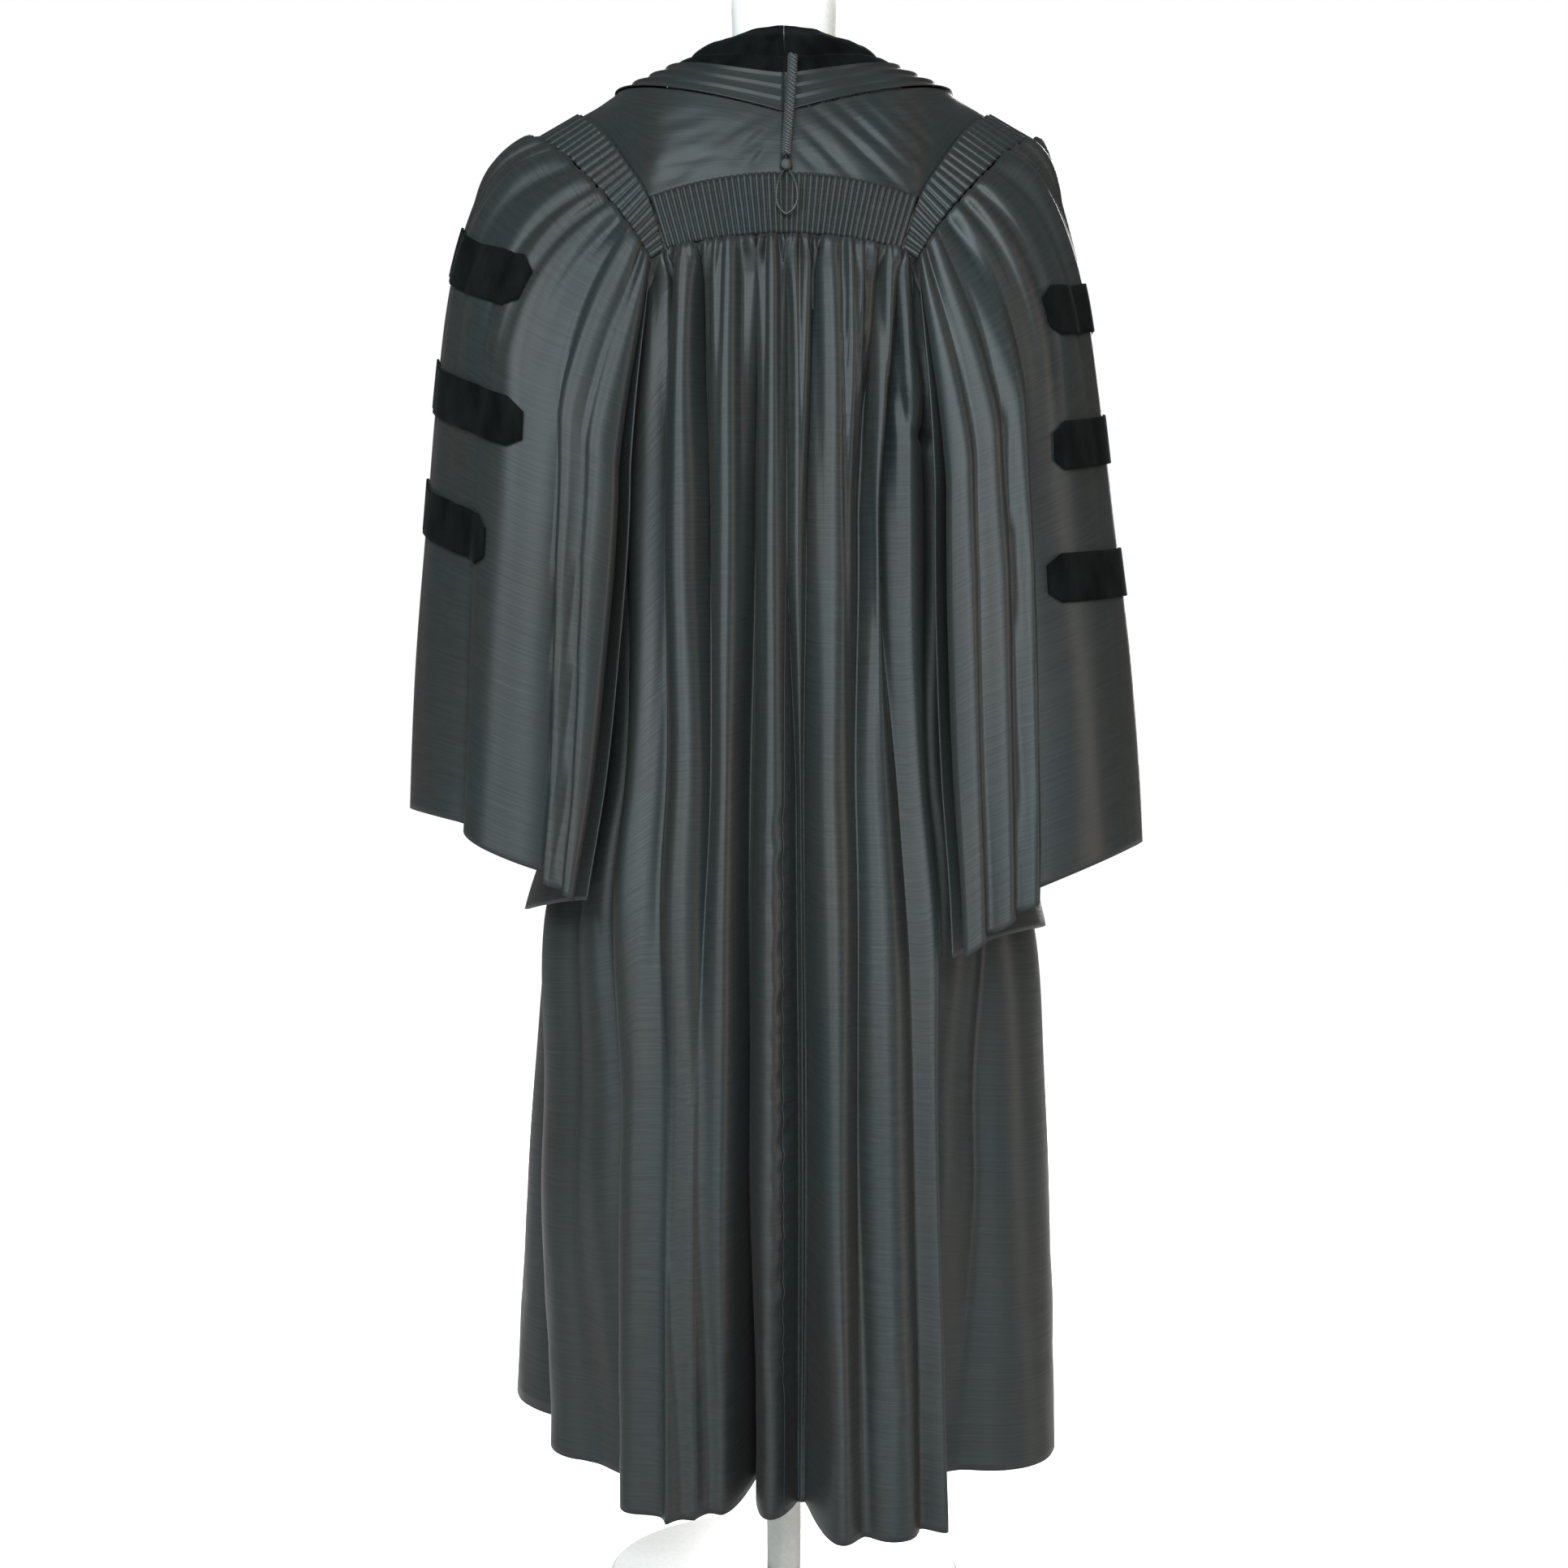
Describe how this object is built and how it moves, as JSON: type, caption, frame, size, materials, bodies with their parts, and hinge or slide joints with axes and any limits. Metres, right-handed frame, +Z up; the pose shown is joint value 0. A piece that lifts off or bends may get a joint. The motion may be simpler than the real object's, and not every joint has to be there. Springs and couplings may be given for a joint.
{
  "type": "graduation gown on a dress form",
  "caption": "Black ribbed silk doctoral gown with bell sleeves, velvet facings and sleeve bars and fluted back and sleeve heads, standing on a white limbless dress form.",
  "frame": {"origin": "centre of the base's underside, on the floor under the dress form's pole", "axes": "+Z up, -Y out of the gown's back, +X to the wearer's right"},
  "size_m": [0.6757, 0.4184, 1.5063],
  "materials": {
    "silk": "ribbed, soft sheen",
    "velvet": "pile, matte",
    "braid": "twisted cord",
    "form_jersey": "matte jersey",
    "cap_brass": "satin",
    "stand_steel": "satin white"
  },
  "bodies": {
    "root": {"back_fluting": "silk", "back_panel_left": "silk", "back_panel_right": "silk", "front_left": "silk", "front_right": "silk", "neck_tucks_left": "silk", "neck_tucks_right": "silk", "sleeve_fluting_left": "silk", "sleeve_fluting_right": "silk", "sleeve_left": "silk", "sleeve_right": "silk", "yoke_left": "silk", "yoke_right": "silk", "hood_button": "silk", "velvet_facing_left": "velvet", "velvet_facing_right": "velvet", "sleeve_bar_left_1": "velvet", "sleeve_bar_left_2": "velvet", "sleeve_bar_left_3": "velvet", "sleeve_bar_right_1": "velvet", "sleeve_bar_right_2": "velvet", "sleeve_bar_right_3": "velvet", "back_braid": "braid", "hood_loop": "braid", "form_torso": "form_jersey", "form_neck_cap": "cap_brass", "form_pole": "stand_steel", "form_base": "stand_steel"}
  },
  "joints": []
}
